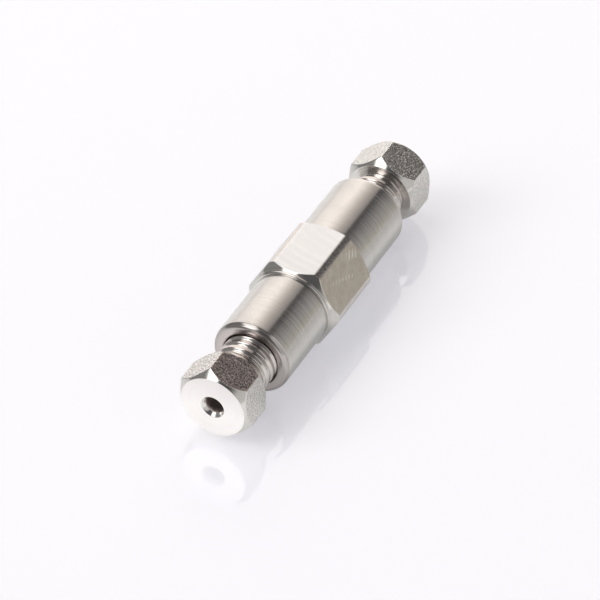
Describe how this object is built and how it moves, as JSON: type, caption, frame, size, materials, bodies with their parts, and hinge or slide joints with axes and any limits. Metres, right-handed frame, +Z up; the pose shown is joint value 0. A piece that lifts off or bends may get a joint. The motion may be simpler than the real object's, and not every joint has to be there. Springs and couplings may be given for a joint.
{
  "type": "in-line carbon dioxide check valve",
  "caption": "Slim steel in-line check valve: two round barrels either side of a hexagon, with a hexagonal screwed tube gland at each end.",
  "frame": {"origin": "the centre of the bounding box at rest: on the flow axis, midway along the overall length with both nuts as drawn, which is 0.525 mm towards the inlet from the middle of the housing", "axes": "+X along the flow axis from inlet to outlet, +Z up with the valve lying on one flat of its hexagon, Y across"},
  "size_m": [0.067, 0.0166, 0.015],
  "materials": {
    "turned_steel": "fine turned",
    "nut_steel": "drawn bar with faced end",
    "inner_steel": "turned",
    "spring_steel": "drawn wire",
    "olive_brass": "turned",
    "seal_rubber": "moulded"
  },
  "bodies": {
    "housing": {"valve_body": "turned_steel", "inlet_body": "turned_steel", "body_o_ring": "seal_rubber", "return_spring": "spring_steel", "spring_shim": "inner_steel", "poppet_guide": "inner_steel", "guide_retaining_ring": "spring_steel", "inlet_olive": "olive_brass", "inlet_tube_seal": "seal_rubber", "inlet_backing_washer": "inner_steel", "outlet_olive": "olive_brass", "outlet_tube_seal": "seal_rubber", "outlet_backing_washer": "inner_steel"},
    "check_poppet": {"poppet": "inner_steel", "poppet_seal": "seal_rubber"},
    "inlet_washer": {"inlet_thrust_washer": "inner_steel"},
    "inlet_nut": {"inlet_gland_nut": "nut_steel"},
    "outlet_washer": {"outlet_thrust_washer": "inner_steel"},
    "outlet_nut": {"outlet_gland_nut": "nut_steel"}
  },
  "joints": [
    {"name": "poppet_slide", "type": "slide", "parent": "housing", "child": "check_poppet", "axis": [1, 0, 0], "range_m": [0, 0.0016], "stiffness_N_per_m": 60, "springref_m": -0.0008, "deforming": ["return_spring"]},
    {"name": "inlet_nut_travel", "type": "slide", "parent": "housing", "child": "inlet_washer", "axis": [1, 0, 0], "range_m": [-0.00301, 0.00426]},
    {"name": "inlet_nut_turn", "type": "hinge", "parent": "inlet_washer", "child": "inlet_nut", "pos_m": [-0.02948, 0, 0], "axis": [1, 0, 0], "range_deg": [-720, 1020]},
    {"name": "outlet_nut_travel", "type": "slide", "parent": "housing", "child": "outlet_washer", "axis": [-1, 0, 0], "range_m": [-0.00406, 0.00321]},
    {"name": "outlet_nut_turn", "type": "hinge", "parent": "outlet_washer", "child": "outlet_nut", "pos_m": [0.03053, 0, 0], "axis": [-1, 0, 0], "range_deg": [-972, 768]}
  ],
  "couplings": [
    {"joint": "inlet_nut_travel", "follows": "inlet_nut_turn", "m_per_rad": 0.00023873},
    {"joint": "outlet_nut_travel", "follows": "outlet_nut_turn", "m_per_rad": 0.00023873}
  ]
}
